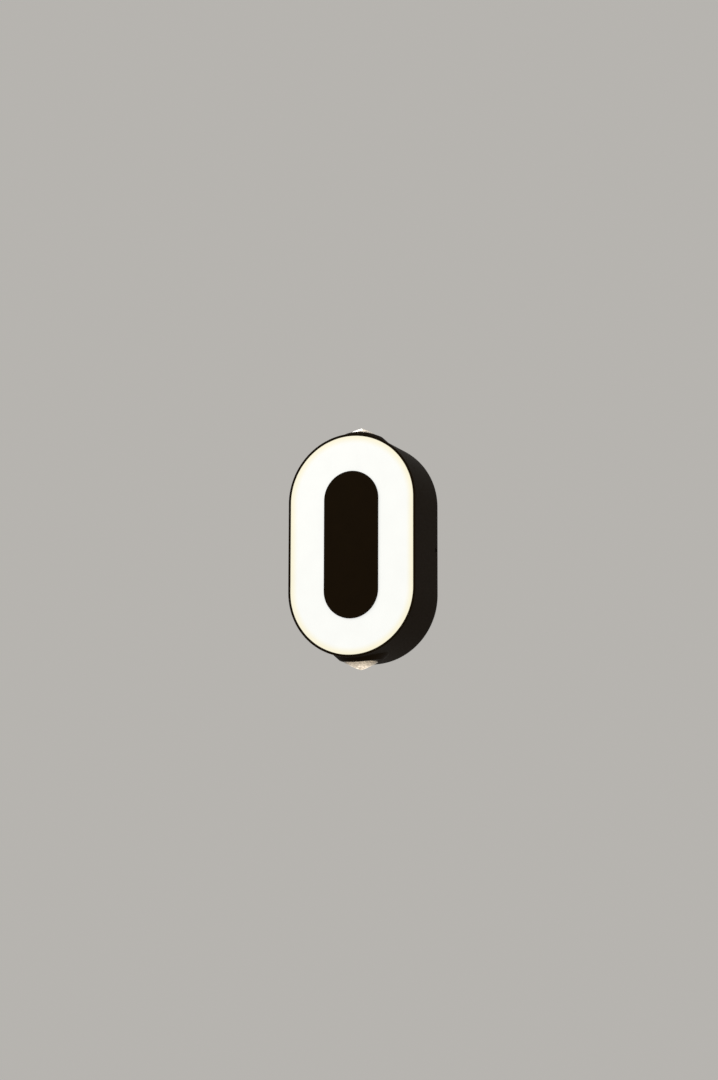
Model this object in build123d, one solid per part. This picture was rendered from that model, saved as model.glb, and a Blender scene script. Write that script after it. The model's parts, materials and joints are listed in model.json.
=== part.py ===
from build123d import *
import os
from math import cos, hypot, pi, radians, sin, tan

# Oval up-and-down wall light that reads as a glowing numeral zero, in millimetres.
# The wall is the plane y = 0, the light faces -Y, +Z is up and the origin is the bracket's centre.

# Housing
body_width = 120.0
body_height = 200.0
body_depth = 60.0
shell_wall = 2.0
edge_round = 0.5

# Clearances
fit_gap = 0.2
thread_gap = 0.1
hole_gap = 0.3

# Front: opal diffuser, its ledge and the black centre plate
rim_lip = 0.3
diffuser_thickness = 3.0
diffuser_gasket_thickness = 1.0
ledge_width = 3.0
ledge_thickness = 2.0
plate_width = 51.0
plate_height = 132.0
plate_thickness = 1.6
plate_edge_round = 0.4
plate_seal_thickness = 0.4
plate_seal_inset = 1.5
stud_radius = 4.0
stud_spacing = 90.0
stud_thread_depth = 8.0

# Chassis plate behind the ring of light
chassis_thickness = 1.5
chassis_edge_gap = 0.5
chassis_ledge_width = 11.0
chassis_ledge_thickness = 3.0

# Ring of light behind the diffuser
ring_board_thickness = 1.6
ring_board_margin = 1.0
ring_board_width = 24.0
chip_count = 40
chip_length = 3.5
chip_width = 2.8
chip_height = 0.8
ring_screw_count = 8
ring_screw_inset = 4.0
ring_lead_inset = 4.0

# Lenses at the upper and lower end
lens_forward = 5.0
lens_radius = 15.0
lens_dome_drop = 1.2
lens_dome_height = 7.0
lens_flank_bulge = 0.4
lens_seal_thickness = 1.0
lens_seal_width = 3.0
collar_height = 3.2
collar_lip = 0.6
collar_slope = 42.0
collar_edge_margin = 3.0
pocket_depth = 5.2
pocket_floor = 2.5
pocket_wall = 2.0
cup_bore_radius = 12.2
cup_wall = 1.0
spacer_wall = 1.2
spacer_length = 20.0

# Spot light source in each lens cup
spot_board_radius = 10.4
spot_board_thickness = 1.6
spot_board_notch = 2.5
spot_led_radius = 4.0
spot_led_height = 1.2
spot_led_dome_radius = 2.6
sink_plug_depth = 1.5
sink_thickness = 4.0
sink_ear_width = 7.0
sink_thread_depth = 8.0
sink_wire_offset = 9.0

# Screws
m3_radius = 1.5
m3_head_radius = 2.75
m3_head_height = 1.65
m3_socket_radius = 1.2
m4_radius = 2.0
m4_head_radius = 3.8
m4_head_height = 2.6
m4_socket_radius = 1.6
boss_wall = 1.7

# Driver
driver_width = 38.0
driver_depth = 24.0
driver_length = 76.0
driver_wall = 1.5
driver_lid_thickness = 1.5
driver_edge_gap = 2.0
driver_ear_length = 8.0
driver_ear_width = 10.0
driver_ear_thickness = 2.0
driver_board_thickness = 1.6
driver_board_gap = 0.5
standoff_radius = 2.5
transformer_width = 20.0
transformer_length = 18.0
transformer_height = 14.0
capacitor_radius = 5.0
capacitor_height = 14.0
choke_radius = 4.5
choke_height = 9.0
component_spacing = 8.0

# Terminal block
terminal_edge_gap = 8.0
terminal_length = 22.0
terminal_height = 16.0
pole_pitch = 12.0
pole_wall = 2.0
clamp_length = 18.0
clamp_width = 6.0
clamp_height = 7.0
clamp_bore_radius = 1.4
clamp_screw_radius = 1.45
clamp_screw_spacing = 10.0
clamp_screw_recess = 1.0
screw_slot_width = 0.6
screw_slot_depth = 0.7

# Earth connection
earth_edge_gap = 17.0
earth_z = -40.0
ring_terminal_radius = 4.0
ring_terminal_thickness = 0.8
barrel_radius = 1.7
barrel_length = 6.0

# Internal leads
lead_radius = 0.8
lead_height = 7.0
lead_bend = 7.0
lead_tail = 5.0
lead_touch = 0.05
bush_radius = 3.0
bush_flange_radius = 4.5
bush_flange_thickness = 0.8

# Back cover and cable entry
rear_recess = 9.4
cover_thickness = 2.0
cover_gasket_thickness = 1.0
cover_gasket_width = 3.0
cover_ledge_width = 12.0
cover_ledge_thickness = 3.0
cover_screw_inset = 2.8
cover_screw_height = 22.0
cover_screw_angle = 45.0
cover_boss_length = 4.0
cover_edge_gap = 0.5
cable_radius = 4.0
grommet_neck_radius = 7.0
grommet_flange_radius = 9.0
grommet_flange_thickness = 1.5

# Wall side
wall_gasket_thickness = 1.5
wall_gasket_inset = 0.2
bracket_thickness = 1.5
bracket_height = 24.0
bracket_bend = 1.0
bracket_tab_gap = 0.8
bracket_front_gap = 0.7
wall_slot_spacing = 60.0
wall_slot_width = 4.5
wall_slot_length = 12.0
cable_hole_radius = 10.0

# Side lock screws
lock_radius = 2.0
lock_dog_radius = 1.4
lock_socket_radius = 1.1
lock_socket_depth = 2.5
lock_recess = 1.0
lock_boss_depth = 3.0
lock_boss_width = 9.0
lock_seat = 3.4
lock_reach = 0.8

# Shared places worked out from the sizes above
straight = body_height - body_width
inner_half = body_width / 2 - shell_wall
front_y = -body_depth
rear_y = -wall_gasket_thickness
outer_top = body_height / 2

diffuser_front = front_y + rim_lip
diffuser_rear = diffuser_front + diffuser_thickness
ledge_front = diffuser_rear + diffuser_gasket_thickness
ledge_rear = ledge_front + ledge_thickness
ledge_half = inner_half - ledge_width
plate_rear = diffuser_front - plate_seal_thickness
plate_front = plate_rear - plate_thickness
stud_spots = [(0, -stud_spacing / 2), (0, stud_spacing / 2)]

lens_axis = -body_depth / 2 - lens_forward
opening_radius = lens_radius + hole_gap
cup_radius = cup_bore_radius + cup_wall
plug_radius = cup_bore_radius - fit_gap
light_hole_radius = plug_radius - spacer_wall
collar_base_radius = body_depth / 2 - collar_edge_margin
collar_top = outer_top + collar_height
dome_base = collar_top - lens_dome_drop
pocket_z = collar_top - pocket_depth
lens_base = pocket_z + lens_seal_thickness
cup_top = pocket_z - pocket_floor
seat_z = cup_top - spacer_length
cup_end = seat_z - sink_plug_depth
sink_bottom = cup_end - sink_thickness
sink_screw_x = cup_radius + m3_radius + boss_wall
sink_ear_half = sink_screw_x + m3_radius + boss_wall
sink_wire_y = lens_axis + sink_wire_offset

chassis_rear = lens_axis - cup_radius - fit_gap
chassis_front = chassis_rear - chassis_thickness
chassis_half = ledge_half - chassis_edge_gap
chassis_ledge_half = inner_half - chassis_ledge_width
chassis_ledge_rear = chassis_rear + chassis_ledge_thickness
ring_board_front = chassis_front - ring_board_thickness
ring_board_outer = ledge_half - ring_board_margin
ring_board_inner = ring_board_outer - ring_board_width
chip_row = (ring_board_outer + ring_board_inner) / 2

cover_rear = -rear_recess
cover_front = cover_rear - cover_thickness
cover_ledge = cover_front - cover_gasket_thickness
cover_ledge_half = inner_half - cover_ledge_width
lock_face = inner_half - lock_boss_depth
cover_half = lock_face - cover_edge_gap
cover_screw_half = cover_half - cover_screw_inset
cover_turn = radians(cover_screw_angle)
cover_screw_spots = [
    (side * x, end * z)
    for side in (-1, 1)
    for end in (-1, 1)
    for x, z in (
        (cover_screw_half, cover_screw_height),
        (cover_screw_half * cos(cover_turn), straight / 2 + cover_screw_half * sin(cover_turn)),
    )
]

tab_outer = lock_face - bracket_tab_gap
tab_inner = tab_outer - bracket_thickness
tab_front = cover_rear + bracket_front_gap
lock_y = -bracket_thickness - lock_seat

lead_y = chassis_rear + lead_height
driver_left = driver_edge_gap - chassis_ledge_half
driver_right = driver_left + driver_width
driver_x = (driver_left + driver_right) / 2
driver_end = driver_length / 2
driver_rim = chassis_rear + driver_depth
driver_board_top = lead_y - lead_radius - lead_touch
driver_screw_z = driver_end + driver_ear_length / 2
terminal_right = chassis_ledge_half - terminal_edge_gap
terminal_left = terminal_right - terminal_length
terminal_x = (terminal_left + terminal_right) / 2
terminal_half = pole_pitch + clamp_width / 2 + pole_wall
terminal_rear = chassis_rear + terminal_height
terminal_screw_spots = [(terminal_x, -pole_pitch / 2), (terminal_x, pole_pitch / 2)]
pole_heights = [-pole_pitch, 0.0, pole_pitch]
earth_x = chassis_ledge_half - earth_edge_gap
earth_top = lead_y - barrel_radius

# Places where leads leave the driver, pass the chassis plate and run beside the driver
inner_lead_x = driver_right - driver_width / 6
middle_lead_x = driver_right - driver_width / 3
outer_lead_x = driver_left + driver_width / 6
ring_lead_x = ring_board_inner + ring_lead_inset
ring_lead_z = driver_end + driver_ear_length + bush_flange_radius
side_lead_x = -(inner_half - driver_left) / 2

upper_end = Rot(0, 0, 0)
lower_end = Rot(0, 180, 0)


def stadium(half_width, y_front, y_back, side=straight):
    """Upright prism with round ends between two depths."""
    outline = SlotCenterToCenter(side, 2 * half_width, rotation=90)
    return extrude(Plane.XZ.offset(-y_back) * outline, amount=y_back - y_front)


def peg(radius, spot, y_front, y_back):
    """Round bar along Y at an (x, z) spot."""
    disc = Pos(spot[0], spot[1]) * Circle(radius)
    return extrude(Plane.XZ.offset(-y_back) * disc, amount=y_back - y_front)


def upright(radius, z_low, z_high, x=0.0, y=lens_axis):
    """Round bar along Z."""
    return Pos(x, y, (z_low + z_high) / 2) * Cylinder(radius, z_high - z_low)


def cross_bar(radius, x_low, x_high, y, z):
    """Round bar along X."""
    return Pos((x_low + x_high) / 2, y, z) * Rot(0, 90, 0) * Cylinder(radius, x_high - x_low)


def block(x_low, x_high, y_front, y_back, z_low, z_high):
    """Box between two corners."""
    middle = Pos((x_low + x_high) / 2, (y_front + y_back) / 2, (z_low + z_high) / 2)
    return middle * Box(x_high - x_low, y_back - y_front, z_high - z_low)


def around_stadium(half_width, count, side=straight):
    """Evenly spaced (x, z, turn in degrees) places round a stadium."""
    arc = pi * half_width
    places = []
    for k in range(count):
        lap, s = divmod(2 * (side + arc) * (k + 0.5) / count, side + arc)
        turn = max(0.0, s - side) / half_width
        x = half_width * cos(turn)
        z = min(s, side) - side / 2 + half_width * sin(turn)
        flip = -1 if lap else 1
        places.append((flip * x, flip * z, turn * 180 / pi + 180 * lap))
    return places


ring_screw_row = ring_board_outer - ring_screw_inset
ring_screw_spots = [(x, z) for x, z, turn in around_stadium(ring_screw_row, ring_screw_count)]


def socket_screw(seat, toward, length, radius, head_radius, head_height, socket_radius):
    """Cylinder-head screw whose head rests at the seat and stands out along the given direction."""
    screw = Pos(0, 0, head_height / 2) * Cylinder(head_radius, head_height)
    screw += Pos(0, 0, -length / 2) * Cylinder(radius, length)
    socket = extrude(RegularPolygon(socket_radius, 6), amount=-head_height / 2)
    screw -= Pos(0, 0, head_height) * socket
    return Plane(seat, z_dir=toward) * screw


def m3_screw(seat, toward, length):
    """M3 screw, head at the seat."""
    return socket_screw(seat, toward, length, m3_radius, m3_head_radius, m3_head_height, m3_socket_radius)


def m4_screw(seat, toward, length):
    """M4 screw, head at the seat."""
    return socket_screw(seat, toward, length, m4_radius, m4_head_radius, m4_head_height, m4_socket_radius)


def lead(*points):
    """Round wire along straight runs joined by tangent arcs as large as the runs allow."""
    corners = [Vector(*point) for point in points]
    radii = []
    for before, corner, after in zip(corners, corners[1:], corners[2:]):
        run_in = corner - before
        run_out = after - corner
        half_turn = radians(run_in.get_angle(run_out)) / 2
        shorter = min(run_in.length, run_out.length)
        radii.append(min(lead_bend, 0.45 * shorter / tan(half_turn)))
    path = FilletPolyline(*corners, radius=radii)
    section = Plane(path @ 0, z_dir=path % 0) * Circle(lead_radius)
    return sweep(section, path=path)


def collar():
    """Round boss with a sloping flank, cut off to the curve of the body's end."""
    top_radius = opening_radius + collar_lip
    flank_height = (collar_base_radius - top_radius) * tan(radians(collar_slope))
    flank_base = collar_top - flank_height
    boss = upright(collar_base_radius, straight / 2, flank_base)
    middle = Pos(0, lens_axis, (flank_base + collar_top) / 2)
    boss += middle * Cone(collar_base_radius, top_radius, flank_height)
    return boss & stadium(body_width / 2 + collar_height, front_y, rear_y)


def housing():
    """Cast shell with its ledges, lens cups and screw bosses."""
    body = stadium(body_width / 2, front_y, rear_y)
    body = fillet(body.edges().group_by(Axis.Y)[0], edge_round)
    for end in (upper_end, lower_end):
        body += end * collar()
    outer = body
    body -= stadium(inner_half, front_y, ledge_front)
    body -= stadium(ledge_half, ledge_front, ledge_rear)
    body -= stadium(inner_half, ledge_rear, chassis_rear)
    body -= stadium(chassis_ledge_half, chassis_rear, chassis_ledge_rear)
    body -= stadium(inner_half, chassis_ledge_rear, cover_ledge - cover_ledge_thickness)
    body -= stadium(cover_ledge_half, cover_ledge - cover_ledge_thickness, cover_ledge)
    body -= stadium(inner_half, cover_ledge, rear_y)
    for end in (upper_end, lower_end):
        body += (end * upright(opening_radius + pocket_wall, cup_top, collar_top)) & outer
        body += end * upright(cup_radius, cup_end, cup_top)
        for side in (-1, 1):
            inner_x = side * cup_bore_radius
            outer_x = side * sink_ear_half
            lug = block(min(inner_x, outer_x), max(inner_x, outer_x), lens_axis - sink_ear_width / 2,
                        lens_axis + sink_ear_width / 2, cup_end, cup_end + sink_thread_depth)
            body += end * lug
            body -= end * upright(m3_radius + thread_gap, cup_end, cup_end + sink_thread_depth,
                                  x=side * sink_screw_x)
        body -= end * upright(cup_bore_radius, cup_end, cup_top)
        body -= end * upright(light_hole_radius, cup_top, pocket_z)
        body -= end * upright(opening_radius, pocket_z, collar_top)
    for spot in cover_screw_spots:
        boss_front = cover_ledge - cover_ledge_thickness - cover_boss_length
        body += peg(m3_radius + boss_wall, spot, boss_front, cover_ledge)
        body -= peg(m3_radius + thread_gap, spot, boss_front, cover_ledge)
    for side in (-1, 1):
        inner_x = side * lock_face
        outer_x = side * (inner_half + shell_wall / 2)
        body += block(min(inner_x, outer_x), max(inner_x, outer_x), cover_ledge, rear_y,
                      -lock_boss_width / 2, lock_boss_width / 2)
    body -= cross_bar(lock_radius + thread_gap, -body_width / 2, body_width / 2, lock_y, 0)
    for spot in ring_screw_spots:
        body -= peg(m3_radius + thread_gap, spot, chassis_rear, chassis_ledge_rear)
    return body


def chassis_plate():
    """Plate that carries the ring of light, the driver and the terminals, with the earth boss."""
    plate = stadium(chassis_half, chassis_front, chassis_rear)
    plate += peg(ring_terminal_radius, (earth_x, earth_z), chassis_rear, earth_top)
    plate -= peg(m4_radius + thread_gap, (earth_x, earth_z), chassis_rear, earth_top)
    for spot in stud_spots:
        plate -= peg(m4_radius + hole_gap, spot, chassis_front, chassis_rear)
    for spot in ring_screw_spots:
        plate -= peg(m3_radius + hole_gap, spot, chassis_front, chassis_rear)
    driver_screw_spots = [(driver_x, -driver_screw_z), (driver_x, driver_screw_z)]
    for spot in terminal_screw_spots + driver_screw_spots:
        plate -= peg(m3_radius + thread_gap, spot, chassis_front, chassis_rear)
    return plate - peg(bush_radius + thread_gap, (ring_lead_x, ring_lead_z), chassis_front, chassis_rear)


def front_pieces():
    """Diffuser, its gasket, the centre plate with its studs, its seal and its screws."""
    diffuser = stadium(inner_half - fit_gap, diffuser_front, diffuser_rear)
    gasket = stadium(inner_half - fit_gap, diffuser_rear, ledge_front)
    gasket -= stadium(ledge_half, diffuser_rear, ledge_front)
    side = plate_height - plate_width
    plate = stadium(plate_width / 2, plate_front, plate_rear, side)
    plate = fillet(plate.edges().group_by(Axis.Y)[0], plate_edge_round)
    seal = stadium(plate_width / 2 - plate_seal_inset, plate_rear, diffuser_front, side)
    screws = []
    for spot in stud_spots:
        plate += peg(stud_radius, spot, plate_rear, chassis_front)
        plate -= peg(m4_radius + thread_gap, spot, chassis_front - stud_thread_depth, chassis_front)
        diffuser -= peg(stud_radius + hole_gap, spot, diffuser_front, diffuser_rear)
        seal -= peg(stud_radius + hole_gap, spot, plate_rear, diffuser_front)
        length = chassis_thickness + stud_thread_depth - hole_gap
        screws.append(m4_screw((spot[0], chassis_rear, spot[1]), (0, 1, 0), length))
    return {
        "diffuser": diffuser,
        "diffuser_gasket": gasket,
        "centre_plate": plate,
        "centre_plate_seal": seal,
        "centre_plate_screws": Compound(children=screws),
    }


def ring_light():
    """Ring-shaped circuit board, its row of light chips and its screws."""
    board = stadium(ring_board_outer, ring_board_front, chassis_front)
    board -= stadium(ring_board_inner, ring_board_front, chassis_front)
    board -= peg(lead_radius + hole_gap, (ring_lead_x, ring_lead_z), ring_board_front, chassis_front)
    screws = []
    for spot in ring_screw_spots:
        board -= peg(m3_radius + hole_gap, spot, ring_board_front, chassis_front)
        seat = (spot[0], ring_board_front, spot[1])
        length = ring_board_thickness + chassis_thickness + chassis_ledge_thickness - hole_gap
        screws.append(m3_screw(seat, (0, -1, 0), length))
    chip = Pos(0, -chip_height / 2, 0) * Box(chip_width, chip_height, chip_length)
    chips = [
        Pos(x, ring_board_front, z) * Rot(0, -turn, 0) * chip
        for x, z, turn in around_stadium(chip_row, chip_count)
    ]
    return {
        "led_ring_board": board,
        "led_chips": Compound(children=chips),
        "led_board_screws": Compound(children=screws),
    }


def lens():
    """Clear lens: short barrel and a bulged flank that meets in a blunt point."""
    foot = (lens_radius, dome_base)
    tip = (0, dome_base + lens_dome_height)
    pull = 2 * lens_flank_bulge / hypot(lens_radius, lens_dome_height)
    bend = (
        lens_radius / 2 + pull * lens_dome_height,
        dome_base + lens_dome_height / 2 + pull * lens_radius,
    )
    outline = Polyline(tip, (0, lens_base), (lens_radius, lens_base), foot)
    face = make_face(outline + Bezier(foot, bend, tip))
    return Pos(0, lens_axis, 0) * revolve(Plane.XZ * face, Axis.Z)


def lens_pieces():
    """Lens, seal, spacer, spot light source and heat sink at each end."""
    seal = upright(lens_radius, pocket_z, lens_base)
    seal -= upright(lens_radius - lens_seal_width, pocket_z, lens_base)
    spacer = upright(plug_radius, seat_z, cup_top)
    spacer -= upright(light_hole_radius, seat_z, cup_top)
    board_top = seat_z + spot_board_thickness
    board = upright(spot_board_radius, seat_z, board_top)
    notch_half = lead_radius + hole_gap
    board -= block(-notch_half, notch_half, lens_axis + spot_board_radius - spot_board_notch,
                   lens_axis + spot_board_radius, seat_z, board_top)
    led_top = board_top + spot_led_height
    led = upright(spot_led_radius, board_top, led_top)
    on_top = (Align.CENTER, Align.CENTER, Align.MIN)
    led += Pos(0, lens_axis, led_top) * Sphere(spot_led_dome_radius, arc_size1=0, align=on_top)
    sink = upright(plug_radius, sink_bottom, seat_z)
    sink += block(-sink_ear_half, sink_ear_half, lens_axis - sink_ear_width / 2,
                  lens_axis + sink_ear_width / 2, sink_bottom, cup_end)
    sink -= upright(lead_radius + hole_gap, sink_bottom, seat_z, y=sink_wire_y)
    for side in (-1, 1):
        sink -= upright(m3_radius + hole_gap, sink_bottom, cup_end, x=side * sink_screw_x)
    pieces = {
        "lens": lens(),
        "lens_seal": seal,
        "lens_spacer": spacer,
        "spot_board": board,
        "spot_led": led,
        "heat_sink": sink,
    }
    screws = [
        end * m3_screw((side * sink_screw_x, lens_axis, sink_bottom), (0, 0, -1),
                       sink_thickness + sink_thread_depth - hole_gap)
        for end in (upper_end, lower_end)
        for side in (-1, 1)
    ]
    nodes = {"upper_" + name: upper_end * piece for name, piece in pieces.items()}
    nodes.update({"lower_" + name: lower_end * piece for name, piece in pieces.items()})
    nodes["heat_sink_screws"] = Compound(children=screws)
    return nodes


def driver_pieces():
    """Driver tray, lid, circuit board with its main components, and fixing screws."""
    tray = block(driver_left, driver_right, chassis_rear, driver_rim, -driver_end, driver_end)
    tray -= block(driver_left + driver_wall, driver_right - driver_wall, chassis_rear + driver_wall,
                  driver_rim, -driver_end + driver_wall, driver_end - driver_wall)
    screws = []
    for end in (-1, 1):
        z_low = min(end * driver_end, end * (driver_end + driver_ear_length))
        tray += block(driver_x - driver_ear_width / 2, driver_x + driver_ear_width / 2, chassis_rear,
                      chassis_rear + driver_ear_thickness, z_low, z_low + driver_ear_length)
        spot = (driver_x, end * driver_screw_z)
        tray -= peg(m3_radius + hole_gap, spot, chassis_rear, chassis_rear + driver_ear_thickness)
        seat = (spot[0], chassis_rear + driver_ear_thickness, spot[1])
        screws.append(m3_screw(seat, (0, 1, 0), driver_ear_thickness + chassis_thickness - hole_gap))
    for x in (inner_lead_x, middle_lead_x, outer_lead_x):
        tray -= Pos(x, lead_y, 0) * Cylinder(lead_radius + fit_gap, driver_length)
    board_bottom = driver_board_top - driver_board_thickness
    board_left = driver_left + driver_wall + driver_board_gap
    board_right = driver_right - driver_wall - driver_board_gap
    board_end = driver_end - driver_wall - driver_board_gap
    board = block(board_left, board_right, board_bottom, driver_board_top, -board_end, board_end)
    for x in (board_left + standoff_radius, board_right - standoff_radius):
        for z in (standoff_radius - board_end, board_end - standoff_radius):
            tray += peg(standoff_radius, (x, z), chassis_rear + driver_wall, board_bottom)
    transformer = block(driver_x - transformer_width / 2, driver_x + transformer_width / 2, driver_board_top,
                        driver_board_top + transformer_height, 0, transformer_length)
    capacitor = peg(capacitor_radius, (driver_x - component_spacing, -capacitor_radius - component_spacing),
                    driver_board_top, driver_board_top + capacitor_height)
    choke = peg(choke_radius, (driver_x + component_spacing, -capacitor_radius - component_spacing),
                driver_board_top, driver_board_top + choke_height)
    lid = block(driver_left, driver_right, driver_rim, driver_rim + driver_lid_thickness,
                -driver_end, driver_end)
    return {
        "driver_tray": tray,
        "driver_lid": lid,
        "driver_board": board,
        "driver_transformer": transformer,
        "driver_capacitor": capacitor,
        "driver_choke": choke,
        "driver_screws": Compound(children=screws),
    }


def terminal_pieces():
    """Three-pole terminal block with brass clamps, clamp screws and fixing screws."""
    body = block(terminal_left, terminal_right, chassis_rear, terminal_rear, -terminal_half, terminal_half)
    clamps = []
    clamp_screws = []
    clamp_low = terminal_x - clamp_length / 2
    clamp_high = terminal_x + clamp_length / 2
    clamp_front = lead_y - clamp_height / 2
    clamp_rear = lead_y + clamp_height / 2
    for z in pole_heights:
        body -= block(clamp_low - fit_gap, clamp_high + fit_gap, clamp_front - thread_gap,
                      clamp_rear + fit_gap, z - clamp_width / 2 - fit_gap, z + clamp_width / 2 + fit_gap)
        body -= cross_bar(clamp_bore_radius, terminal_left, terminal_right, lead_y, z)
        clamp = block(clamp_low, clamp_high, clamp_front, clamp_rear,
                      z - clamp_width / 2, z + clamp_width / 2)
        clamp -= cross_bar(clamp_bore_radius, clamp_low, clamp_high, lead_y, z)
        for x in (terminal_x - clamp_screw_spacing / 2, terminal_x + clamp_screw_spacing / 2):
            body -= peg(clamp_screw_radius + hole_gap, (x, z), clamp_rear, terminal_rear)
            clamp -= peg(clamp_screw_radius + thread_gap, (x, z), lead_y, clamp_rear)
            screw_top = terminal_rear - clamp_screw_recess
            screw = peg(clamp_screw_radius, (x, z), lead_y + lead_radius + thread_gap, screw_top)
            screw -= block(x - clamp_screw_radius, x + clamp_screw_radius, screw_top - screw_slot_depth,
                           screw_top, z - screw_slot_width / 2, z + screw_slot_width / 2)
            clamp_screws.append(screw)
        clamps.append(clamp)
    fixings = []
    for spot in terminal_screw_spots:
        body -= peg(m3_radius + fit_gap, spot, chassis_rear, terminal_rear)
        fixings.append(m3_screw((spot[0], terminal_rear, spot[1]), (0, 1, 0),
                                terminal_height + chassis_thickness - hole_gap))
    return {
        "terminal_block": body,
        "terminal_clamps": Compound(children=clamps),
        "terminal_clamp_screws": Compound(children=clamp_screws),
        "terminal_fixing_screws": Compound(children=fixings),
    }


def earth_pieces():
    """Ring terminal with a crimp barrel, and the earth screw that holds it on its boss."""
    spot = (earth_x, earth_z)
    plate_back = earth_top + ring_terminal_thickness
    barrel_end = earth_x - ring_terminal_radius - fit_gap
    ring = peg(ring_terminal_radius, spot, earth_top, plate_back)
    ring += block(barrel_end - barrel_length / 2, earth_x, earth_top, plate_back,
                  earth_z - barrel_radius, earth_z + barrel_radius)
    ring += cross_bar(barrel_radius, barrel_end - barrel_length, barrel_end, lead_y, earth_z)
    ring -= cross_bar(lead_radius + thread_gap, barrel_end - barrel_length, barrel_end, lead_y, earth_z)
    ring -= peg(m4_radius + fit_gap, spot, earth_top, plate_back)
    length = plate_back - chassis_rear - hole_gap
    screw = m4_screw((earth_x, plate_back, earth_z), (0, 1, 0), length)
    return {"earth_ring_terminal": ring, "earth_screw": screw}


def leads():
    """Insulated leads between terminals, driver, ring board and the two spot boards."""
    tail_z = driver_end - lead_tail
    turn_z = driver_end + driver_ear_length + lead_tail
    clamp_x = terminal_x - clamp_screw_spacing / 2 - lead_tail / 2
    lane = (terminal_left - driver_right) / 5
    live_x = driver_right + 2 * lane
    neutral_x = driver_right + 3 * lane
    earth_lane_x = driver_right + 4 * lane
    barrel_x = earth_x - ring_terminal_radius - barrel_length / 2
    pad_z = seat_z + spot_board_thickness + lead_radius + lead_touch
    pad_y = lens_axis + spot_led_radius + 2 * lead_radius
    rise_z = sink_bottom - 2 * lead_tail
    live, neutral, earth = pole_heights[2], pole_heights[1], pole_heights[0]
    return {
        "live_lead": lead(
            (clamp_x, lead_y, live),
            (live_x, lead_y, live),
            (live_x, lead_y, -turn_z),
            (inner_lead_x, lead_y, -turn_z),
            (inner_lead_x, lead_y, -tail_z),
        ),
        "neutral_lead": lead(
            (clamp_x, lead_y, neutral),
            (neutral_x, lead_y, neutral),
            (neutral_x, lead_y, -turn_z - lead_tail),
            (middle_lead_x, lead_y, -turn_z - lead_tail),
            (middle_lead_x, lead_y, -tail_z),
        ),
        "earth_lead": lead(
            (clamp_x, lead_y, earth),
            (earth_lane_x, lead_y, earth),
            (earth_lane_x, lead_y, earth_z),
            (barrel_x, lead_y, earth_z),
        ),
        "ring_lead": lead(
            (inner_lead_x, lead_y, tail_z),
            (inner_lead_x, lead_y, ring_lead_z),
            (ring_lead_x, lead_y, ring_lead_z),
            (ring_lead_x, ring_board_front - lead_radius, ring_lead_z),
        ),
        "upper_spot_lead": lead(
            (middle_lead_x, lead_y, tail_z),
            (middle_lead_x, lead_y, turn_z + lead_tail),
            (0, sink_wire_y, rise_z),
            (0, sink_wire_y, pad_z),
            (0, pad_y, pad_z),
        ),
        "lower_spot_lead": lead(
            (outer_lead_x, lead_y, tail_z),
            (outer_lead_x, lead_y, turn_z),
            (side_lead_x, lead_y, turn_z),
            (side_lead_x, lead_y, -turn_z),
            (0, sink_wire_y, -rise_z),
            (0, sink_wire_y, -pad_z),
            (0, pad_y, -pad_z),
        ),
        "lead_bush": lead_bush(),
    }


def lead_bush():
    """Rubber bush that guards the ring lead where it passes the chassis plate."""
    spot = (ring_lead_x, ring_lead_z)
    bush = peg(bush_radius, spot, chassis_front, chassis_rear)
    bush += peg(bush_flange_radius, spot, chassis_rear, chassis_rear + bush_flange_thickness)
    return bush - peg(lead_radius + thread_gap, spot, chassis_front, chassis_rear + bush_flange_thickness)


def back_pieces():
    """Back cover, its gasket and screws, the cable grommet and the foam strip against the wall."""
    cover = stadium(cover_half, cover_front, cover_rear)
    cover -= peg(grommet_neck_radius, (0, 0), cover_front, cover_rear)
    gasket_inner = cover_ledge_half + fit_gap
    gasket = stadium(gasket_inner + cover_gasket_width, cover_ledge, cover_front)
    gasket -= stadium(gasket_inner, cover_ledge, cover_front)
    screws = []
    for spot in cover_screw_spots:
        cover -= peg(m3_radius + hole_gap, spot, cover_front, cover_rear)
        length = cover_rear - cover_ledge + cover_ledge_thickness + cover_boss_length - hole_gap
        screws.append(m3_screw((spot[0], cover_rear, spot[1]), (0, 1, 0), length))
    centre = (0, 0)
    grommet_front = cover_front - grommet_flange_thickness
    grommet_rear = cover_rear + grommet_flange_thickness
    grommet = peg(grommet_flange_radius, centre, grommet_front, cover_front)
    grommet += peg(grommet_neck_radius - thread_gap, centre, cover_front, cover_rear)
    grommet += peg(grommet_flange_radius, centre, cover_rear, grommet_rear)
    grommet -= peg(cable_radius, centre, grommet_front, grommet_rear)
    strip = stadium(body_width / 2 - wall_gasket_inset, rear_y, 0)
    strip -= stadium(inner_half + wall_gasket_inset, rear_y, 0)
    return {
        "back_cover": cover,
        "back_cover_gasket": gasket,
        "back_cover_screws": Compound(children=screws),
        "cable_grommet": grommet,
        "wall_gasket": strip,
    }


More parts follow.
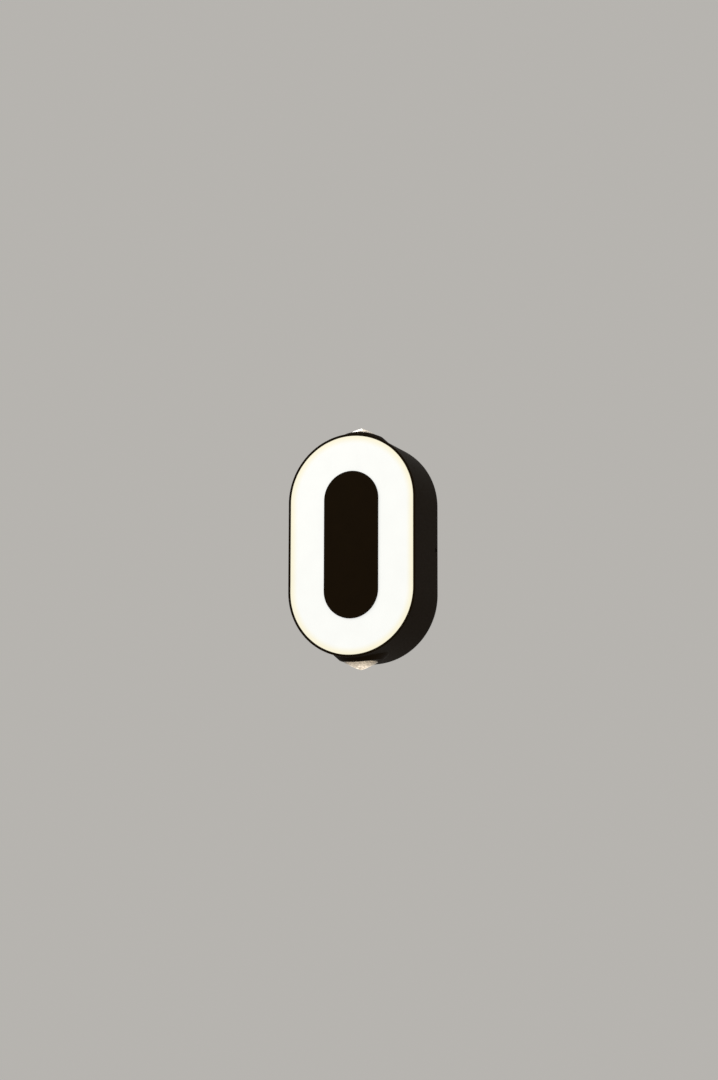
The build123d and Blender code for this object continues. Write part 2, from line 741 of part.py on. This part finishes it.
def wall_bracket():
    """Steel strap with two wall slots, a cable hole and end tabs slotted for the lock screws."""
    half = bracket_height / 2
    bracket = block(-tab_outer, tab_outer, tab_front, 0, -half, half)
    outer_bend = bracket_bend + bracket_thickness
    bracket = fillet(bracket.edges().filter_by(Axis.Z).group_by(Axis.Y)[-1], outer_bend)
    hollow = block(-tab_inner, tab_inner, tab_front, -bracket_thickness, -half, half)
    hollow = fillet(hollow.edges().filter_by(Axis.Z).group_by(Axis.Y)[-1], bracket_bend)
    bracket -= hollow
    dog_slot_half = lock_dog_radius + hole_gap
    bracket -= block(-tab_outer, tab_outer, tab_front, lock_y, -dog_slot_half, dog_slot_half)
    bracket -= cross_bar(dog_slot_half, -tab_outer, tab_outer, lock_y, 0)
    slot = SlotOverall(wall_slot_length, wall_slot_width)
    for side in (-1, 1):
        outline = Plane.XZ * (Pos(side * wall_slot_spacing / 2, 0) * slot)
        bracket -= extrude(outline, amount=bracket_thickness)
    return bracket - peg(cable_hole_radius, (0, 0), -bracket_thickness, 0)


def lock_screw(side):
    """Set screw with a dog point, sunk in the housing's side, made on +X and turned for -X."""
    head = body_width / 2 - lock_recess
    tip = tab_inner - lock_reach
    screw = cross_bar(lock_radius, lock_face, head, lock_y, 0)
    screw += cross_bar(lock_dog_radius, tip, lock_face, lock_y, 0)
    socket = extrude(RegularPolygon(lock_socket_radius, 6), amount=-lock_socket_depth)
    screw -= Plane((head, lock_y, 0), z_dir=(1, 0, 0)) * socket
    return screw if side > 0 else mirror(screw, Plane.YZ)


def all_nodes():
    """Every piece of the light under its node name."""
    nodes = {
        "housing": housing(),
        "chassis_plate": chassis_plate(),
        "wall_bracket": wall_bracket(),
        "lock_screw_left": lock_screw(-1),
        "lock_screw_right": lock_screw(1),
    }
    for pieces in (front_pieces(), ring_light(), lens_pieces(), driver_pieces(), terminal_pieces(),
                   earth_pieces(), leads(), back_pieces()):
        nodes.update(pieces)
    return nodes


os.makedirs("parts", exist_ok=True)
for name, shape in all_nodes().items():
    export_step(shape, "parts/" + name + ".step")
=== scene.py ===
"""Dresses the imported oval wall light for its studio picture.

Lengths are metres in the part's own frame: the wall is y = 0, the light faces -Y and +Z is up.
"""

import json
import logging
import math
from dataclasses import dataclass
from enum import Enum
from typing import Any, Union

import bpy
import numpy as np
from mathutils import Matrix, Vector


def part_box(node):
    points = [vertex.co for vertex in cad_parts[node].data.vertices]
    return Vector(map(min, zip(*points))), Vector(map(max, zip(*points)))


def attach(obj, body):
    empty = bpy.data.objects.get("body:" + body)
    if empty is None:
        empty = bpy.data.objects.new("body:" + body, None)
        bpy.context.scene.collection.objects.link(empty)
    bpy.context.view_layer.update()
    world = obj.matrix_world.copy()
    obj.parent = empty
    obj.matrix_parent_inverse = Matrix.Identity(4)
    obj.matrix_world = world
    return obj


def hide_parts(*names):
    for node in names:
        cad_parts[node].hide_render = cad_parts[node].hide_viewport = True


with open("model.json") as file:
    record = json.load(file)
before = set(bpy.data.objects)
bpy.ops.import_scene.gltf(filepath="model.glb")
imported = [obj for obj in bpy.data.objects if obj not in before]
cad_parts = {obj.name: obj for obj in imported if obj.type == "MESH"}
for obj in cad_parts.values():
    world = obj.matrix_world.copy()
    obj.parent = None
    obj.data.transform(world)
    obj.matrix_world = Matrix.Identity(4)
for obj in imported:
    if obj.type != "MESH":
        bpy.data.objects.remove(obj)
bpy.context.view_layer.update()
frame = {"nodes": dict(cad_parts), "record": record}  # nodes and the imported record

logging.basicConfig(level=logging.INFO, format="%(message)s")
log = logging.getLogger("oval_light")

Colour = tuple[float, float, float]
Place = tuple[float, float, float]
Socket = bpy.types.NodeSocket
Feed = Union[float, Socket]

# Sockets of a Mix node that mixes two colours
MIX_SHARE = 0
MIX_FIRST = 6
MIX_SECOND = 7
MIX_RESULT = 2

# Most values of a noise or relief lie between these two
NOISE_LOW = 0.2
NOISE_HIGH = 0.8


class Grain(Enum):
    """Fine relief of a finish."""

    ORANGE_PEEL = "orange peel of a powder coat"
    MOULDED = "texture of a moulded surface"
    CELLS = "closed foam cells"
    SPANGLE = "zinc crystals"
    BRUSHED = "fine machining lines"
    WOUND = "turns of a winding"


# Detail of the noise that makes each grain
GRAIN_DETAIL = {Grain.ORANGE_PEEL: 1.5, Grain.MOULDED: 4.0, Grain.BRUSHED: 2.0}

# A brushed grain's scale along its lines, as a share of its scale across them
BRUSH_STRETCH = 0.04

# Scale of a Wave texture with waves of about one unit
WAVE_SCALE = 0.3

# How far the relief changes a finish's roughness, as a share
ROUGHNESS_SPREAD = 0.1


class End(Enum):
    """The end of the body that a lens sits in, as the way along Z that it faces."""

    UPPER = 1
    LOWER = -1

    @property
    def word(self) -> str:
        """First word of this end's node names."""
        return self.name.lower()


class NodeSheet:
    """Short calls for building one node tree.

    Args:
        tree: The node tree that the calls add to.
    """

    def __init__(self, tree: bpy.types.NodeTree) -> None:
        self.tree = tree

    def add(self, kind: str, **settings: Any) -> bpy.types.Node:
        """Adds a node and sets its plain properties.

        Args:
            kind: Node type, such as ShaderNodeMath.
            settings: Properties of the node by name.

        Returns:
            The new node.
        """
        node = self.tree.nodes.new(kind)
        for key, value in settings.items():
            setattr(node, key, value)
        return node

    def feed(self, target: Socket, value: Any) -> None:
        """Links a socket to the target, or sets a plain value on it.

        Args:
            target: Input socket.
            value: Output socket to link, or the value to set.
        """
        if isinstance(value, Socket):
            self.tree.links.new(value, target)
        else:
            target.default_value = value

    def maths(self, operation: str, *values: Feed) -> Socket:
        """Adds a Math node.

        Args:
            operation: Name of the operation, such as MAXIMUM.
            values: Sockets or numbers for its inputs, in order.

        Returns:
            The socket with the result.
        """
        node = self.add("ShaderNodeMath", operation=operation)
        for target, value in zip(node.inputs, values):
            self.feed(target, value)
        return node.outputs[0]

    def blend(self, share: Feed, first: Any, second: Any) -> Socket:
        """Adds a colour mix.

        Args:
            share: Share of the second colour, from 0 to 1.
            first: Socket or RGB for a share of 0.
            second: Socket or RGB for a share of 1.

        Returns:
            The socket with the mixed colour.
        """
        node = self.add("ShaderNodeMix", data_type="RGBA")
        self.feed(node.inputs[MIX_SHARE], share)
        for number, value in ((MIX_FIRST, first), (MIX_SECOND, second)):
            self.feed(node.inputs[number], value if isinstance(value, Socket) else (*value, 1.0))
        return node.outputs[MIX_RESULT]

    def span(self, value: Feed, low: float, high: float, to_low: float, to_high: float) -> Socket:
        """Adds a smooth Map Range from one span of numbers to another.

        Args:
            value: Number to map.
            low: Start of its span.
            high: End of its span.
            to_low: Result at the start.
            to_high: Result at the end.

        Returns:
            The socket with the result.
        """
        node = self.add("ShaderNodeMapRange", interpolation_type="SMOOTHSTEP")
        for target, number in zip(node.inputs, (value, low, high, to_low, to_high)):
            self.feed(target, number)
        return node.outputs[0]

    def place(self) -> Socket:
        """Object coordinates, in metres."""
        return self.add("ShaderNodeTexCoord").outputs["Object"]

    def axes(self, where: Socket) -> bpy.types.NodeOutputs:
        """Splits coordinates into sockets named X, Y and Z.

        Args:
            where: Coordinates in metres.

        Returns:
            The three sockets.
        """
        node = self.add("ShaderNodeSeparateXYZ")
        self.feed(node.inputs[0], where)
        return node.outputs

    def noise(self, where: Socket, size: float, detail: float = 3.0) -> Socket:
        """Adds a cloudy noise.

        Args:
            where: Coordinates in metres.
            size: Size of its features, about.
            detail: Number of finer layers in it.

        Returns:
            The socket with its value, from 0 to 1.
        """
        node = self.add("ShaderNodeTexNoise")
        self.feed(node.inputs["Vector"], where)
        node.inputs["Scale"].default_value = 1.0 / size
        node.inputs["Detail"].default_value = detail
        return node.outputs[0]

    def cells(self, where: Socket, size: float) -> Socket:
        """Adds a pattern of rounded cells.

        Args:
            where: Coordinates in metres.
            size: Size of a cell, about.

        Returns:
            The socket with the distance from the cell's middle, in cell sizes.
        """
        node = self.add("ShaderNodeTexVoronoi", feature="F1")
        self.feed(node.inputs["Vector"], where)
        node.inputs["Scale"].default_value = 1.0 / size
        return node.outputs["Distance"]

    def relief(self, height: Socket, depth: float, invert: bool = False) -> Socket:
        """Adds a bump at full strength.

        Args:
            height: Height from 0 to 1.
            depth: How deep the relief is.
            invert: Whether a height of 1 is the bottom.

        Returns:
            The socket with the bumped normal.
        """
        node = self.add("ShaderNodeBump", invert=invert)
        node.inputs["Strength"].default_value = 1.0
        node.inputs["Distance"].default_value = depth
        self.feed(node.inputs["Height"], height)
        return node.outputs[0]


def new_material(name: str) -> tuple[bpy.types.Material, NodeSheet, bpy.types.Node]:
    """Makes a node material.

    Args:
        name: Material name.

    Returns:
        The material, the sheet for its node tree and its surface shader.
    """
    made = bpy.data.materials.new(name)
    made.use_nodes = True
    log.info("material %s", name)
    return made, NodeSheet(made.node_tree), made.node_tree.nodes["Principled BSDF"]


def scaled(colour: Colour, share: float) -> Colour:
    """A colour made lighter or darker by a share."""
    return tuple(min(1.0, channel * share) for channel in colour)


@dataclass(frozen=True)
class Finish:
    """One opaque surface finish with its colour, gloss and fine relief."""

    name: str
    colour: Colour
    roughness: float
    metallic: float = 0.0
    specular: float = 0.5
    mottle: float = 0.10
    mottle_size: float = 0.012
    grain: Grain = Grain.MOULDED
    grain_size: float = 0.0006
    grain_depth: float = 0.00002

    def height(self, sheet: NodeSheet, where: Socket) -> Socket:
        """Relief of the grain as a number from 0 to 1.

        Args:
            sheet: Node tree to build in.
            where: Coordinates in metres.

        Returns:
            The socket with the height.
        """
        if self.grain in (Grain.CELLS, Grain.SPANGLE):
            return sheet.cells(where, self.grain_size)
        if self.grain is Grain.WOUND:
            wave = sheet.add("ShaderNodeTexWave", bands_direction="Y")
            sheet.feed(wave.inputs["Vector"], where)
            wave.inputs["Scale"].default_value = WAVE_SCALE / self.grain_size
            return wave.outputs["Fac"]
        if self.grain is Grain.BRUSHED:
            stretch = sheet.add("ShaderNodeMapping")
            sheet.feed(stretch.inputs["Vector"], where)
            stretch.inputs["Scale"].default_value = (BRUSH_STRETCH, 1.0, 1.0)
            where = stretch.outputs[0]
        return sheet.noise(where, self.grain_size, GRAIN_DETAIL[self.grain])

    def material(self) -> bpy.types.Material:
        """The node material of this finish, made once.

        Returns:
            The material.
        """
        name = self.name + "_finish"
        if name in bpy.data.materials:
            return bpy.data.materials[name]
        made, sheet, shader = new_material(name)
        where = sheet.place()
        cloud = sheet.noise(where, self.mottle_size)
        dark = scaled(self.colour, 1.0 - self.mottle)
        light = scaled(self.colour, 1.0 + self.mottle)
        sheet.feed(shader.inputs["Base Color"], sheet.blend(cloud, dark, light))
        height = self.height(sheet, where)
        smooth = self.roughness * (1.0 - ROUGHNESS_SPREAD)
        rough = min(1.0, self.roughness * (1.0 + ROUGHNESS_SPREAD))
        sheet.feed(shader.inputs["Roughness"], sheet.span(height, NOISE_LOW, NOISE_HIGH, smooth, rough))
        shader.inputs["Metallic"].default_value = self.metallic
        shader.inputs["Specular IOR Level"].default_value = self.specular
        sheet.feed(shader.inputs["Normal"], sheet.relief(height, self.grain_depth))
        return made


@dataclass(frozen=True)
class OpalGlow:
    """Opal acrylic lit from behind, a little dimmer and warmer beside the rim."""

    half_width: float
    straight: float
    name: str = "opal_acrylic"
    falloff: float = 0.0075
    base: Colour = (0.30, 0.30, 0.28)
    glow: Colour = (0.694, 0.706, 0.695)
    edge_glow: Colour = (0.690, 0.64, 0.455)
    haze: float = 0.03
    haze_size: float = 0.018
    roughness: float = 0.38
    roughness_spread: float = 0.05
    texture_size: float = 0.0012

    def reach(self, sheet: NodeSheet, where: Socket) -> Socket:
        """Distance from the middle line of the stadium: sqrt(x^2 + max(|z| - straight / 2, 0)^2).

        Args:
            sheet: Node tree to build in.
            where: Coordinates in metres.

        Returns:
            The socket with the distance.
        """
        along = sheet.axes(where)
        past_end = sheet.maths("SUBTRACT", sheet.maths("ABSOLUTE", along["Z"]), self.straight / 2)
        square_x = sheet.maths("POWER", sheet.maths("ABSOLUTE", along["X"]), 2.0)
        square_z = sheet.maths("POWER", sheet.maths("MAXIMUM", past_end, 0.0), 2.0)
        return sheet.maths("SQRT", sheet.maths("ADD", square_x, square_z))

    def material(self) -> bpy.types.Material:
        """The glowing material, whose light changes towards the stadium's edge.

        Returns:
            The material.
        """
        made, sheet, shader = new_material(self.name + "_lit")
        where = sheet.place()
        fade_start = self.half_width - self.falloff
        edge = sheet.span(self.reach(sheet, where), fade_start, self.half_width, 0.0, 1.0)
        sheet.feed(shader.inputs["Emission Color"], sheet.blend(edge, self.glow, self.edge_glow))
        cloud = sheet.noise(where, self.haze_size)
        above = sheet.maths("MULTIPLY", cloud, 2.0 * self.haze)
        sheet.feed(shader.inputs["Emission Strength"], sheet.maths("ADD", above, 1.0 - self.haze))
        dark = scaled(self.base, 1.0 - self.haze)
        light = scaled(self.base, 1.0 + self.haze)
        sheet.feed(shader.inputs["Base Color"], sheet.blend(cloud, dark, light))
        smooth = self.roughness - self.roughness_spread
        rough = self.roughness + self.roughness_spread
        fine = sheet.noise(where, self.texture_size)
        sheet.feed(shader.inputs["Roughness"], sheet.span(fine, NOISE_LOW, NOISE_HIGH, smooth, rough))
        return made


@dataclass(frozen=True)
class LensGlow:
    """Clear acrylic lens with a pebbled face that carries the spot light from its foot to its tip."""

    foot_z: float
    tip_z: float
    name: str = "clear_acrylic"
    base: Colour = (0.41, 0.375, 0.31)
    foot_glow: Colour = (0.035, 0.026, 0.017)
    tip_glow: Colour = (0.95, 0.81, 0.645)
    haze: float = 0.03
    haze_size: float = 0.004
    pebble_size: float = 0.0026
    pebble_depth: float = 0.00016
    pebble_core: float = 0.1
    pebble_edge: float = 0.7
    sparkle: float = 0.42
    roughness: float = 0.06
    haze_roughness: float = 0.12
    transmission: float = 0.75
    index: float = 1.49

    def material(self) -> bpy.types.Material:
        """The lit lens material, with its glow along |z| and a brighter middle in each pebble.

        Returns:
            The material.
        """
        name = self.name + "_lit"
        if name in bpy.data.materials:
            return bpy.data.materials[name]
        made, sheet, shader = new_material(name)
        where = sheet.place()
        cloud = sheet.noise(where, self.haze_size)
        dark = scaled(self.base, 1.0 - self.haze)
        sheet.feed(shader.inputs["Base Color"], sheet.blend(cloud, dark, self.base))
        hazed = sheet.span(cloud, NOISE_LOW, NOISE_HIGH, self.roughness, self.haze_roughness)
        sheet.feed(shader.inputs["Roughness"], hazed)
        height = sheet.maths("ABSOLUTE", sheet.axes(where)["Z"])
        rise = sheet.span(height, self.foot_z, self.tip_z, 0.0, 1.0)
        sheet.feed(shader.inputs["Emission Color"], sheet.blend(rise, self.foot_glow, self.tip_glow))
        dip = sheet.cells(where, self.pebble_size)
        bright = 1.0 + self.sparkle
        dim = 1.0 - self.sparkle
        glint = sheet.span(dip, self.pebble_core, self.pebble_edge, bright, dim)
        sheet.feed(shader.inputs["Emission Strength"], glint)
        sheet.feed(shader.inputs["Normal"], sheet.relief(dip, self.pebble_depth, invert=True))
        shader.inputs["Transmission Weight"].default_value = self.transmission
        shader.inputs["IOR"].default_value = self.index
        return made


POWDER_COAT = Finish("black_powder_coat", (0.0084, 0.0044, 0.0010), roughness=0.55, specular=0.025,
                     mottle=0.16, grain=Grain.ORANGE_PEEL, grain_size=0.0011, grain_depth=0.00003)

FINISHES = {
    finish.name: finish
    for finish in (
        POWDER_COAT,
        Finish("black_silicone", (0.012, 0.012, 0.012), roughness=0.62, specular=0.35),
        Finish("grey_foam", (0.035, 0.035, 0.036), roughness=0.9, specular=0.2, grain=Grain.CELLS,
               grain_depth=0.00012),
        Finish("zinc_steel", (0.58, 0.585, 0.58), roughness=0.36, metallic=1.0, mottle=0.12,
               mottle_size=0.006, grain=Grain.SPANGLE, grain_size=0.0022, grain_depth=0.000006),
        Finish("black_steel", (0.018, 0.018, 0.019), roughness=0.40, metallic=0.6, mottle=0.2,
               mottle_size=0.002),
        Finish("cast_aluminium", (0.62, 0.625, 0.635), roughness=0.34, metallic=1.0, grain=Grain.BRUSHED,
               grain_size=0.0004, grain_depth=0.000006),
        Finish("white_board", (0.78, 0.78, 0.75), roughness=0.35, mottle=0.03),
        Finish("phosphor", (0.86, 0.62, 0.12), roughness=0.45, mottle=0.08, mottle_size=0.001),
        Finish("black_plastic", (0.013, 0.013, 0.014), roughness=0.5),
        Finish("white_plastic", (0.68, 0.68, 0.65), roughness=0.45, mottle=0.04),
        Finish("green_board", (0.012, 0.10, 0.032), roughness=0.3, mottle=0.2, mottle_size=0.003),
        Finish("yellow_tape", (0.62, 0.36, 0.02), roughness=0.4, grain=Grain.WOUND, grain_size=0.004),
        Finish("blue_sleeve", (0.012, 0.022, 0.12), roughness=0.32, mottle=0.06),
        Finish("copper_winding", (0.50, 0.19, 0.06), roughness=0.35, metallic=1.0, grain=Grain.WOUND,
               grain_size=0.0006, grain_depth=0.0002),
        Finish("clamp_brass", (0.62, 0.42, 0.12), roughness=0.32, metallic=1.0, grain=Grain.BRUSHED),
        Finish("tinned_copper", (0.58, 0.55, 0.50), roughness=0.34, metallic=1.0, grain=Grain.BRUSHED),
        Finish("brown_insulation", (0.055, 0.022, 0.010), roughness=0.42, mottle=0.06),
        Finish("blue_insulation", (0.010, 0.045, 0.26), roughness=0.42, mottle=0.06),
        Finish("green_insulation", (0.08, 0.24, 0.012), roughness=0.42, mottle=0.06),
        Finish("red_insulation", (0.27, 0.010, 0.008), roughness=0.42, mottle=0.06),
    )
}


def coat(node: str, material: bpy.types.Material) -> None:
    """Gives a CAD node its material in every slot.

    Args:
        node: Node name.
        material: Its material.
    """
    slots = frame["nodes"][node].data.materials
    slots.clear()
    slots.append(material)
    log.info("%s: %s", node, material.name)


def lathe(profile: np.ndarray, turns: int) -> tuple[np.ndarray, list]:
    """Closed surface of a profile turned about Z: (r cos t, r sin t, z) for t round the circle.

    Args:
        profile: Rows of (radius, z) upwards, of which the first and the last are the poles on the axis.
        turns: Number of steps round the circle.

    Returns:
        Vertex places and faces, with a pole at each end and outward normals.
    """
    angle = np.linspace(0.0, 2.0 * np.pi, turns, endpoint=False)
    inner = profile[1:-1]
    radius = inner[:, :1]
    ring = np.stack([
        radius * np.cos(angle),
        radius * np.sin(angle),
        np.broadcast_to(inner[:, 1:], (len(inner), turns)),
    ], axis=-1).reshape(-1, 3)
    poles = np.array([[0.0, 0.0, profile[0, 1]], [0.0, 0.0, profile[-1, 1]]])
    here = np.arange(turns)
    following = (here + 1) % turns
    row = np.arange(len(inner) - 1)[:, None] * turns
    quads = np.stack([row + here, row + following, row + turns + following, row + turns + here], axis=-1)
    low_pole = len(ring)
    last = (len(inner) - 1) * turns
    low_fan = np.stack([np.full(turns, low_pole), following, here], axis=-1)
    high_fan = np.stack([np.full(turns, low_pole + 1), last + here, last + following], axis=-1)
    faces = quads.reshape(-1, 4).tolist() + low_fan.tolist() + high_fan.tolist()
    return np.concatenate([ring, poles]), faces


def add_mesh(name: str, places: np.ndarray, faces: list, sharp_turn: float) -> bpy.types.Object:
    """Makes a smooth-shaded object at the origin.

    Args:
        name: Object name.
        places: Vertex places.
        faces: Vertex numbers of each face.
        sharp_turn: Edges that turn by more than this angle stay sharp, in radians.

    Returns:
        The new object.
    """
    mesh = bpy.data.meshes.new(name)
    mesh.from_pydata(places.tolist(), [], faces)
    mesh.shade_smooth()
    mesh.set_sharp_from_angle(angle=sharp_turn)
    made = bpy.data.objects.new(name, mesh)
    bpy.context.collection.objects.link(made)
    return made


@dataclass
class FrontPanel:
    """Diffuser that glows as a ring, and the black plate in its middle."""

    diffuser: str = "diffuser"
    plate: str = "centre_plate"

    def dress(self) -> None:
        """Coats the front's CAD nodes, with the glow fitted to the diffuser's box."""
        low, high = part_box(self.diffuser)
        width = high.x - low.x
        glow = OpalGlow(half_width=width / 2, straight=high.z - low.z - width)
        coat(self.diffuser, glow.material())
        coat(self.plate, POWDER_COAT.material())


@dataclass
class OtherNodes:
    """Every other CAD node, which takes the finish of its slot in the record."""

    done: tuple[str, ...] = ("diffuser", "centre_plate", "upper_lens", "lower_lens")

    def dress(self) -> None:
        """Coats each node by its material slot."""
        for part in frame["record"]["subparts"]:
            if part["node"] not in self.done:
                coat(part["node"], FINISHES[part["material_slot"]].material())


@dataclass
class LensEnd:
    """Lens at one end of the body, as a turned surface over its CAD node."""

    end: End
    dome_height: float = 0.0070
    flank_bulge: float = 0.0004
    corner_round: float = 0.0002
    corner_points: int = 6
    flank_points: int = 41
    turns: int = 128
    sharp_degrees: float = 40.0

    def corner(self, radius: float, z: float) -> np.ndarray:
        """Quarter circle at the lower corner of the barrel.

        Args:
            radius: Radius of the barrel.
            z: Height of its flat base.

        Returns:
            Rows of (radius, z).
        """
        angle = np.linspace(-math.pi / 2, 0.0, self.corner_points)
        soft = self.corner_round
        return np.stack([radius - soft + soft * np.cos(angle), z + soft + soft * np.sin(angle)], axis=-1)

    def profile(self, radius: float, base: float, tip: float) -> np.ndarray:
        """Outline from the base's middle to the tip.

        The flank is (1 - t)^2 foot + 2 t (1 - t) bend + t^2 head. The bend pulls its middle out by
        the bulge.

        Args:
            radius: Radius of the barrel.
            base: Height of the flat base.
            tip: Height of the tip.

        Returns:
            Rows of (radius, z).
        """
        foot = np.array([radius, tip - self.dome_height])
        head = np.array([0.0, tip])
        run = head - foot
        outward = np.array([run[1], -run[0]]) / np.hypot(*run)
        bend = (foot + head) / 2 + 2 * self.flank_bulge * outward
        t = np.linspace(0.0, 1.0, self.flank_points)[:, None]
        flank = (1 - t) ** 2 * foot + 2 * t * (1 - t) * bend + t ** 2 * head
        middle = np.array([[0.0, base], [radius / 2, base]])
        return np.concatenate([middle, self.corner(radius, base), flank])

    def build(self) -> bpy.types.Object:
        """Makes the lens, puts it in its pocket and rides it on the lamp.

        The lower lens is the upper one after half a turn about X, which turns y and z round.

        Returns:
            The lens object.
        """
        low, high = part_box(End.UPPER.word + "_lens")
        places, faces = lathe(self.profile((high.x - low.x) / 2, low.z, high.z), self.turns)
        places = places * (1.0, self.end.value, self.end.value)
        places = places + (0.0, (low.y + high.y) / 2, 0.0)
        lens = add_mesh(self.end.word + "_lens_surface", places, faces, math.radians(self.sharp_degrees))
        lens.data.materials.append(LensGlow(high.z - self.dome_height, high.z).material())
        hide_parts(self.end.word + "_lens")
        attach(lens, "lamp")
        log.info("%s: %d corners", lens.name, len(places))
        return lens


@dataclass(frozen=True)
class Lamp:
    """Soft square lamp of the studio."""

    name: str
    place: Place
    size: float
    power: float
    colour: Colour

    def build(self, target: Vector) -> None:
        """Makes the lamp.

        Args:
            target: Point that it shines at.
        """
        lamp = bpy.data.lights.new(self.name, "AREA")
        lamp.size = self.size
        lamp.energy = self.power
        lamp.color = self.colour
        made = bpy.data.objects.new(self.name, lamp)
        made.location = self.place
        made.rotation_euler = (target - Vector(self.place)).to_track_quat("-Z", "Y").to_euler()
        bpy.context.collection.objects.link(made)
        log.info("%s: %.0f W", self.name, self.power)


@dataclass
class Studio:
    """Floor, world, soft lamps and the camera at the photograph's place."""

    backdrop: Colour = (0.47, 0.455, 0.43)
    ambient: float = 0.45
    ambient_tint: Colour = (1.0, 0.985, 0.96)
    floor_z: float = -1.35
    floor_half: float = 14.0
    floor_paint: float = 2.0
    floor_roughness: float = 0.9
    floor_mottle: float = 0.01
    floor_mottle_size: float = 1.5
    floor_glow: float = 0.75
    azimuth: float = 20.791
    elevation: float = -9.391
    roll: float = 0.155
    distance: float = 2.681338
    target: Place = (-0.004100, -0.030, 0.008894)
    lens_mm: float = 100.0
    sensor_mm: float = 36.0
    lamps: tuple[Lamp, ...] = (
        Lamp("key_lamp", (-1.4, -2.0, 1.5), size=1.4, power=30.0, colour=(1.0, 0.97, 0.92)),
        Lamp("fill_lamp", (1.9, -1.5, 0.5), size=1.6, power=12.0, colour=(1.0, 0.96, 0.90)),
        Lamp("back_lamp", (-1.5, 1.8, 1.2), size=1.6, power=26.0, colour=(1.0, 0.98, 0.95)),
    )

    def seen(self, sheet: NodeSheet) -> Socket:
        """1 for rays that show the backdrop: from the camera, off gloss or through glass.

        Args:
            sheet: Node tree to build in.

        Returns:
            The socket with 1 or 0.
        """
        path = sheet.add("ShaderNodeLightPath")
        direct = sheet.maths("MAXIMUM", path.outputs["Is Camera Ray"], path.outputs["Is Glossy Ray"])
        return sheet.maths("MAXIMUM", direct, path.outputs["Is Transmission Ray"])

    def build_world(self) -> None:
        """Plain pale world that also gives the soft light all round."""
        world = bpy.data.worlds.new("pale_world")
        world.use_nodes = True
        bpy.context.scene.world = world
        sheet = NodeSheet(world.node_tree)
        back = world.node_tree.nodes["Background"]
        soft = scaled(self.ambient_tint, self.ambient)
        sheet.feed(back.inputs["Color"], sheet.blend(self.seen(sheet), soft, self.backdrop))
        log.info("world: ambient %.2f", self.ambient)

    def build_floor(self) -> None:
        """Wide pale floor far below the light, in the backdrop's colour."""
        half = self.floor_half
        corners = np.array([[-half, -half], [half, -half], [half, half], [-half, half]])
        places = np.column_stack([corners, np.full(len(corners), self.floor_z)])
        floor = add_mesh("floor", places, [[0, 1, 2, 3]], math.pi)
        made, sheet, paint = new_material("pale_floor")
        paint.inputs["Roughness"].default_value = self.floor_roughness
        paint.inputs["Specular IOR Level"].default_value = 0.0
        cloud = sheet.noise(sheet.place(), self.floor_mottle_size)
        pale = scaled(self.backdrop, self.floor_paint)
        dark = scaled(pale, 1.0 - self.floor_mottle)
        sheet.feed(paint.inputs["Base Color"], sheet.blend(cloud, dark, pale))
        glow = sheet.add("ShaderNodeEmission")
        glow.inputs["Color"].default_value = (*self.backdrop, 1.0)
        mix = sheet.add("ShaderNodeMixShader")
        sheet.feed(mix.inputs[0], sheet.maths("MULTIPLY", self.seen(sheet), self.floor_glow))
        sheet.feed(mix.inputs[1], paint.outputs[0])
        sheet.feed(mix.inputs[2], glow.outputs[0])
        sheet.feed(made.node_tree.nodes["Material Output"].inputs["Surface"], mix.outputs[0])
        floor.data.materials.append(made)
        log.info("floor at %.2f m", self.floor_z)

    def build_camera(self) -> None:
        """Camera fitted to the photograph's outline."""
        turn = math.radians(self.azimuth)
        lift = math.radians(self.elevation)
        away = Vector((math.sin(turn) * math.cos(lift), -math.cos(turn) * math.cos(lift), math.sin(lift)))
        level = Vector((0.0, 0.0, 1.0)).cross(away).normalized()
        upward = away.cross(level)
        tilt = math.radians(self.roll)
        right = level * math.cos(tilt) + upward * math.sin(tilt)
        upward = upward * math.cos(tilt) - level * math.sin(tilt)
        camera = bpy.data.cameras.new("camera")
        camera.lens = self.lens_mm
        camera.sensor_width = self.sensor_mm
        made = bpy.data.objects.new("camera", camera)
        spot = Vector(self.target) + away * self.distance
        made.matrix_world = Matrix.Translation(spot) @ Matrix((right, upward, away)).transposed().to_4x4()
        bpy.context.collection.objects.link(made)
        bpy.context.scene.camera = made
        log.info("camera %.2f m away", self.distance)

    def build(self) -> None:
        """Makes the whole studio."""
        bpy.context.scene.view_settings.view_transform = "Standard"
        self.build_world()
        self.build_floor()
        for lamp in self.lamps:
            lamp.build(Vector(self.target))
        self.build_camera()


def main() -> None:
    """Builds the new surfaces, coats every node and sets up the studio."""
    FrontPanel().dress()
    OtherNodes().dress()
    for end in End:
        LensEnd(end).build()
    Studio().build()


if __name__ == "__main__":
    main()
